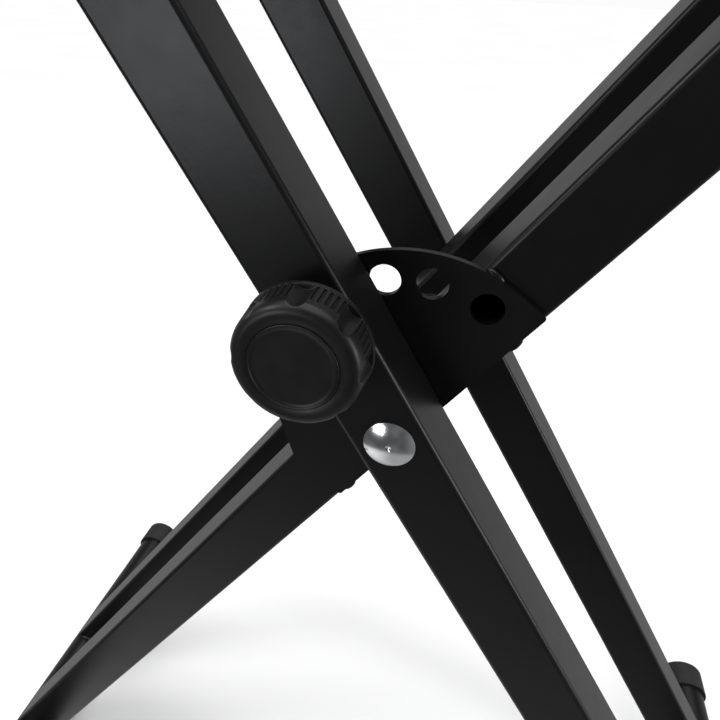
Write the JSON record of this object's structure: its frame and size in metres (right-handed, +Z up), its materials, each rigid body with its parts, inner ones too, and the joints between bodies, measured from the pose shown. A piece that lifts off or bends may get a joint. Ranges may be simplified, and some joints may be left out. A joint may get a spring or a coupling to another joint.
{
  "type": "folding keyboard stand",
  "caption": "Double-braced X keyboard stand of black square tube: crossed leg pairs fold on rivets, and a screw knob locks them at a perforated index plate.",
  "frame": {"origin": "on the floor, under the middle of the crossing", "axes": "+Z up, -Y the front with the lock knob, +X to the right as seen from the front; the arm and foot bars run along Y"},
  "size_m": [0.5906, 0.36, 0.8665],
  "materials": {
    "powder_coat": "semi-matt black powder coat on steel",
    "rubber": "moulded black rubber",
    "chrome": "bright plated steel",
    "knob_plastic": "satin black moulded plastic",
    "zinc_steel": "zinc-plated steel",
    "nylon": "black nylon"
  },
  "bodies": {
    "outer_frame": {"arm_bar_outer": "powder_coat", "arm_cap_outer_front": "rubber", "arm_cap_outer_rear": "rubber", "arm_sleeve_outer_front": "rubber", "arm_sleeve_outer_rear": "rubber", "foot_bar_outer": "powder_coat", "foot_cap_outer_front": "rubber", "foot_cap_outer_rear": "rubber", "leg_outer_front": "powder_coat", "leg_outer_rear": "powder_coat", "lock_bush": "zinc_steel", "pivot_rivet_front": "chrome", "pivot_rivet_rear": "chrome", "pivot_spacer_rear": "nylon", "pivot_tail_washer_front": "chrome", "pivot_tail_washer_rear": "chrome", "pivot_washer_front": "nylon"},
    "inner_frame": {"arm_bar_inner": "powder_coat", "arm_cap_inner_front": "rubber", "arm_cap_inner_rear": "rubber", "arm_sleeve_inner_front": "rubber", "arm_sleeve_inner_rear": "rubber", "foot_bar_inner": "powder_coat", "foot_cap_inner_front": "rubber", "foot_cap_inner_rear": "rubber", "index_plate": "powder_coat", "leg_inner_front": "powder_coat", "leg_inner_rear": "powder_coat", "pivot_bush_front": "nylon", "pivot_bush_rear": "nylon", "plate_welds": "powder_coat"},
    "lock_slide": {"knob_washer": "nylon"},
    "lock_knob": {"knob_grip": "knob_plastic", "knob_insert": "knob_plastic", "lock_screw": "zinc_steel"}
  },
  "joints": [
    {"name": "frame_fold", "type": "hinge", "parent": "outer_frame", "child": "inner_frame", "pos_m": [0, 0, 0.43323], "axis": [0, 1, 0], "range_deg": [-63.45, 39]},
    {"name": "knob_travel", "type": "slide", "parent": "outer_frame", "child": "lock_slide", "axis": [0, 1, 0], "range_m": [0, 0.007]},
    {"name": "knob_turn", "type": "hinge", "parent": "lock_slide", "child": "lock_knob", "pos_m": [-0.03, 0, 0.47813], "axis": [0, 1, 0], "range_deg": [0, 1260]}
  ],
  "couplings": [
    {"joint": "knob_turn", "follows": "knob_travel", "rad_per_m": 3141.6}
  ]
}
